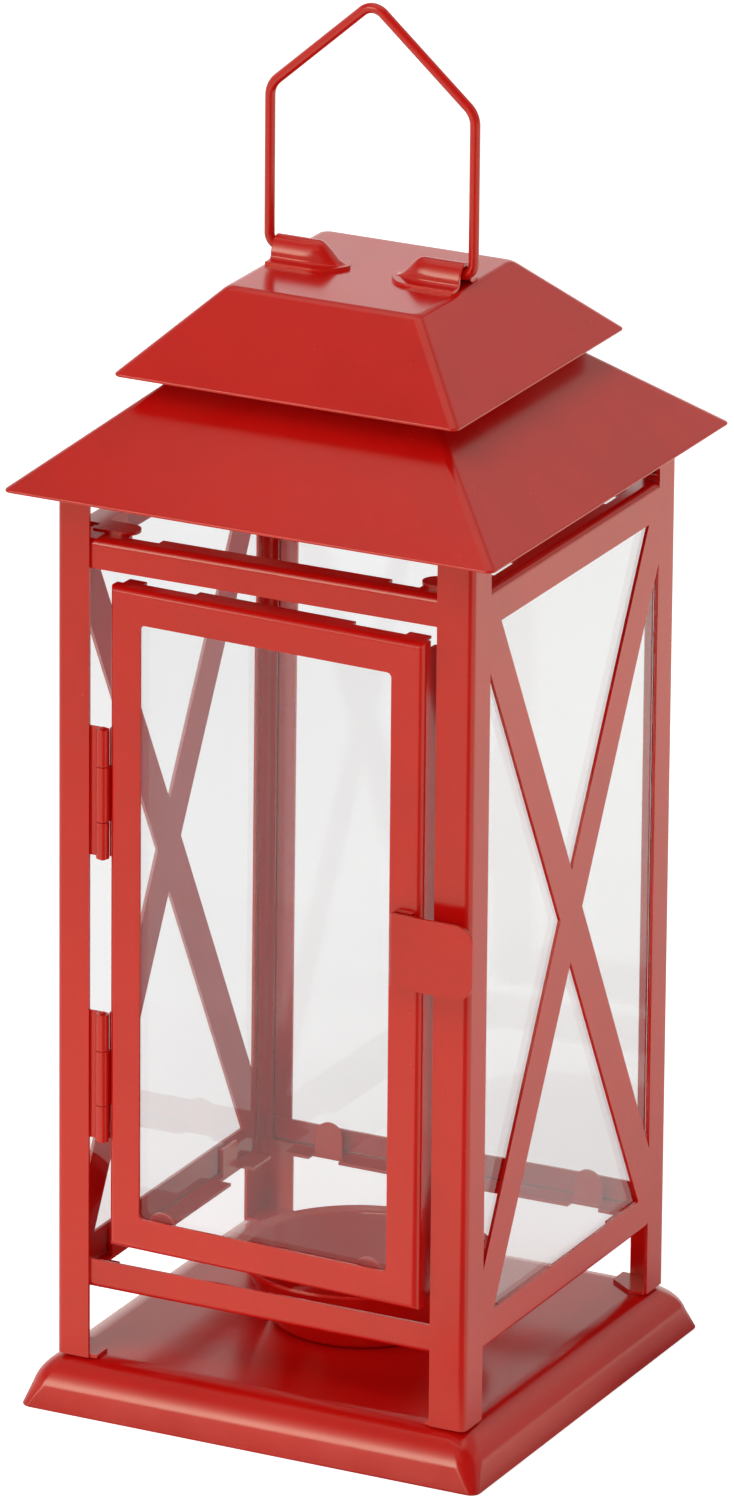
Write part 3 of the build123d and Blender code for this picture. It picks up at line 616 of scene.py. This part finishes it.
# sky levels: elevation in degrees, level
RING_LEVELS = ((0, 1.0), (18.5, 1.0), (22, 0.66), (26, 0.44), (31, 0.40), (38, 0.20),
               (48, 0.10), (90, 0.10))
KEY_LEVELS = ((0, 0), (6.5, 0), (9, 5.8), (15, 5.4), (20, 4.3), (27, 2.2), (34, 1.05),
              (40, 0.45), (47, 0.1), (53, 0))
WALL_LEVELS = ((0, 0.40), (10, 0.45), (20, 0.58), (27, 0.70), (34, 0.68), (45, 0.52),
               (90, 0.40))


def sky_stops(levels, peak=1.0):
    return [(degrees / 90, (level / peak,) * 3) for degrees, level in levels]


def studio_world():
    world = bpy.data.worlds.new("studio")
    scene.world = world
    world.use_nodes = True
    t = Nodes(world.node_tree)
    x, y, z = t.split(t.new("ShaderNodeTexCoord").outputs["Generated"])
    elevation = t.mul(t.math("ARCSINE", z), 180 / math.pi)
    height = t.span(elevation, between=(0.0, 90.0))
    flat = t.math("MAXIMUM", t.length(x, y), 1e-4)

    behind = t.math("DIVIDE", y, flat)
    level = t.span(behind, between=(-1.0, 1.0), gives=(RING_FRONT, RING_BACK))
    ring = t.mul(t.ramp(height, sky_stops(RING_LEVELS)), level)

    # the window fades over ten degrees at each side
    edges = [math.cos(math.radians(KEY_WIDTH + extra)) for extra in (7, -3)]
    window = t.span(t.facing(x, y, flat, KEY_AZIMUTH), between=edges, smooth=True)
    key = t.mul(t.ramp(height, sky_stops(KEY_LEVELS, KEY_PEAK)), window)

    # reflections find a pale ceiling on the left, a grey wall behind on the
    # right and an even dark grey at the front right
    front_right_level = 0.10
    ceiling = t.span(elevation, between=(31.0, 40.0), gives=(0.0, 0.42), smooth=True)
    wall = t.ramp(height, sky_stops(WALL_LEVELS))
    on_right = t.span(t.math("DIVIDE", x, flat), between=(0.02, 0.26), smooth=True)
    at_back = t.span(behind, between=(-0.15, 0.35), smooth=True)
    on_front = t.mul(t.rest(at_back), on_right)
    shine = t.mul(t.math("MAXIMUM", ring, ceiling), t.rest(on_right))
    shine = t.add(shine, t.mul(wall, t.mul(on_right, at_back)))
    shine = t.add(shine, t.mul(on_front, front_right_level))

    glossy = t.new("ShaderNodeLightPath").outputs["Is Glossy Ray"]
    soft = t.add(t.mul(shine, glossy), t.mul(ring, t.rest(glossy)))
    total = t.add(soft, t.mul(key, KEY_PEAK))
    background = t.new("ShaderNodeBackground", {0: t.grey(total)}).outputs[0]
    t.finish(background, kind="ShaderNodeOutputWorld")


def outward(azimuth, elevation):
    """Unit vector from the lantern; both angles in radians."""
    return Vector((math.sin(azimuth) * math.cos(elevation),
                   -math.cos(azimuth) * math.cos(elevation), math.sin(elevation)))


def softbox(name, azimuth, elevation, distance, side, radiance, target,
            mirror=False, light=True):
    """Square lamp aimed at target. mirror: reflections see it; light: it lights surfaces."""
    back = outward(math.radians(azimuth), math.radians(elevation))
    data = bpy.data.lights.new(name, "AREA")
    data.shape = "RECTANGLE"
    data.size = data.size_y = side
    data.energy = radiance * math.pi * side * side
    lamp = bpy.data.objects.new(name, data)
    scene.collection.objects.link(lamp)
    lamp.location = Vector(target) + back * distance
    lamp.rotation_euler = (-back).to_track_quat("-Z", "Y").to_euler()
    lamp.visible_camera = False
    lamp.visible_glossy = mirror
    lamp.visible_diffuse = light


studio_world()
softbox("fill", azimuth=6, elevation=52, distance=2.0, side=1.0, radiance=3.6,
        target=(0, 0, 0.15))
softbox("top", azimuth=0, elevation=90, distance=0.93, side=0.80, radiance=0.95,
        target=(-0.087, 0.11, 0.27))
softbox("top_mirror", azimuth=0, elevation=90, distance=0.88, side=0.76, radiance=0.58,
        target=(-0.085, 0.105, 0.27), mirror=True, light=False)

# ---------------------------------------------------------------- camera
CAMERA_PLACE = (1.3296, -2.6482, 1.2062)
CAMERA_AZIMUTH, CAMERA_ELEVATION, CAMERA_ROLL = 26.66, 19.46, 0.49


def add_camera():
    azimuth, elevation, roll = (
        math.radians(angle) for angle in (CAMERA_AZIMUTH, CAMERA_ELEVATION, CAMERA_ROLL))
    data = bpy.data.cameras.new("camera")
    camera = bpy.data.objects.new("camera", data)
    scene.collection.objects.link(camera)
    back = outward(azimuth, elevation)
    right = Vector((math.cos(azimuth), math.sin(azimuth), 0))
    up = back.cross(right)
    rolled_right = right * math.cos(roll) + up * math.sin(roll)
    rolled_up = up * math.cos(roll) - right * math.sin(roll)
    turn = Matrix((rolled_right, rolled_up, back)).transposed()
    camera.matrix_world = Matrix.Translation(Vector(CAMERA_PLACE)) @ turn.to_4x4()
    data.sensor_width = 36.0
    data.lens = 314.66
    data.clip_start = 0.05
    data.clip_end = 60.0
    scene.camera = camera


add_camera()

# ---------------------------------------------------------------- render settings
scene.view_settings.view_transform = "Standard"
scene.view_settings.look = "None"
cycles = scene.cycles
cycles.use_denoising = True
cycles.max_bounces = 16
cycles.transmission_bounces = 14
cycles.transparent_max_bounces = 24
cycles.glossy_bounces = 6
cycles.diffuse_bounces = 5
cycles.caustics_refractive = False
cycles.caustics_reflective = False
